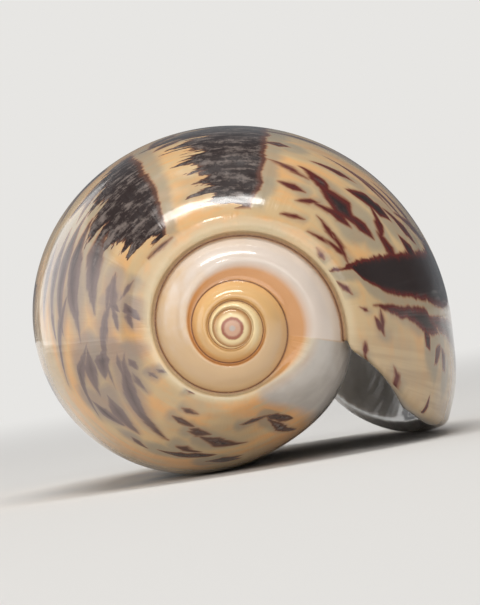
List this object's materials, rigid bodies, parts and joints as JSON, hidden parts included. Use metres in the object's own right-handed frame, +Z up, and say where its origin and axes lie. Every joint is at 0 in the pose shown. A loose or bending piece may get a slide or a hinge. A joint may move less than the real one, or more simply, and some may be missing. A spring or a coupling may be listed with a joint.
{
  "type": "olive shell",
  "caption": "Glossy olive-shaped sea snail shell lying on its long narrow mouth, with a low channelled spire, a folded pillar and a notch at the front end.",
  "frame": {"origin": "the middle of the box round the shell, at the surface it lies on", "axes": "+Y along the shell's axis from the pointed spire to the front notch, +X towards the outer lip's side, +Z up; the mouth faces down"},
  "size_m": [0.0234, 0.041, 0.0192],
  "materials": {
    "glazed_shell": "glossy natural glaze, cream with brown markings"
  },
  "bodies": {
    "root": {"shell": "glazed_shell"}
  },
  "joints": []
}
